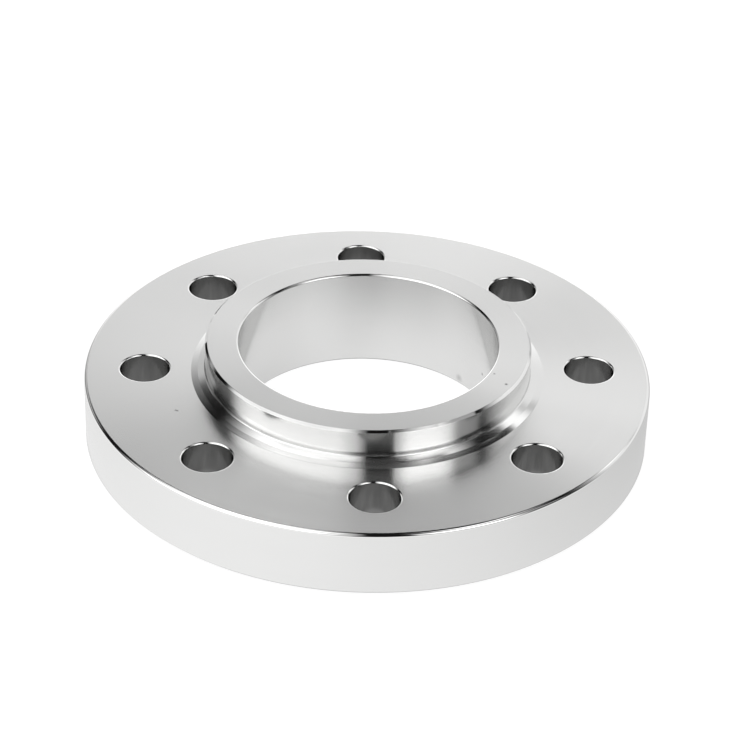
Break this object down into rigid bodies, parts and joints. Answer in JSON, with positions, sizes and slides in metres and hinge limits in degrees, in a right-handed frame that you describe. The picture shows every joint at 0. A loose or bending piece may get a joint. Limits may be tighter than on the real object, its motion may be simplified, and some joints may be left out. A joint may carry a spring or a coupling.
{
  "type": "slip on flange",
  "caption": "Round steel slip on pipe flange with a low hub, a plain bore for the pipe, a ring of bolt holes and a raised gasket face.",
  "frame": {"origin": "centre of the raised gasket face, which the flange lies on", "axes": "+Z along the bore, from the gasket face to the hub; +X through the middle of one bolt hole"},
  "size_m": [0.254, 0.254, 0.0468],
  "materials": {
    "machined_steel": "bright, finely turned stainless steel"
  },
  "bodies": {
    "root": {"flange": "machined_steel"}
  },
  "joints": []
}
